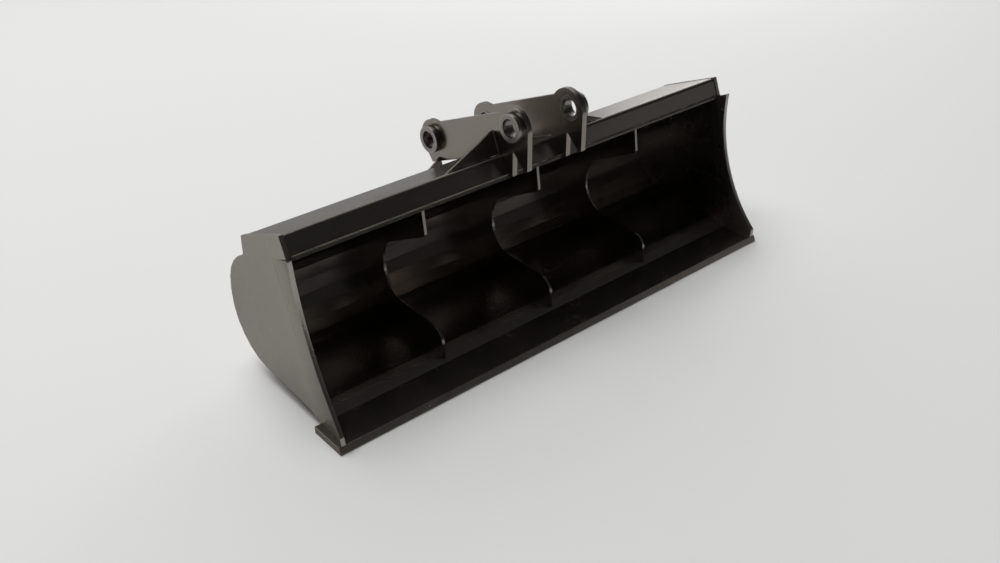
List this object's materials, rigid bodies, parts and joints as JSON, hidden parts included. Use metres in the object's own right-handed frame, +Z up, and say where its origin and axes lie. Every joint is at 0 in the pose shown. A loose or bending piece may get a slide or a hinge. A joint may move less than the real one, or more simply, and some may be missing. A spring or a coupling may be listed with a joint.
{
  "type": "excavator grading bucket",
  "caption": "Wide excavator grading bucket with a smooth blade, a curved shell with inner ribs, a box beam and a pair of ears with pin bores.",
  "frame": {"origin": "under the middle of the whole bucket, on the plane of the blade's underside", "axes": "+X across the bucket along the pin axes, +Y to the rear away from the blade, +Z up"},
  "size_m": [2.05, 0.729, 0.833],
  "materials": {
    "body_paint": "satin",
    "blade_paint": "satin",
    "boss_paint": "satin",
    "bush_steel": "satin"
  },
  "bodies": {
    "root": {"shell": "body_paint", "cutting_edge": "blade_paint", "side_plate_left": "body_paint", "side_plate_right": "body_paint", "side_strip_left": "blade_paint", "side_strip_right": "blade_paint", "torsion_beam": "body_paint", "beam_diaphragm_left": "body_paint", "beam_diaphragm_right": "body_paint", "rib_left": "body_paint", "rib_centre": "body_paint", "rib_right": "body_paint", "ear_left": "body_paint", "ear_right": "body_paint", "boss_front_left": "boss_paint", "boss_front_right": "boss_paint", "boss_rear_left": "boss_paint", "boss_rear_right": "boss_paint", "bush_front_left": "bush_steel", "bush_front_right": "bush_steel", "bush_rear_left": "bush_steel", "bush_rear_right": "bush_steel", "gusset_front_left": "body_paint", "gusset_front_right": "body_paint", "gusset_rear_left": "body_paint", "gusset_rear_right": "body_paint"}
  },
  "joints": []
}
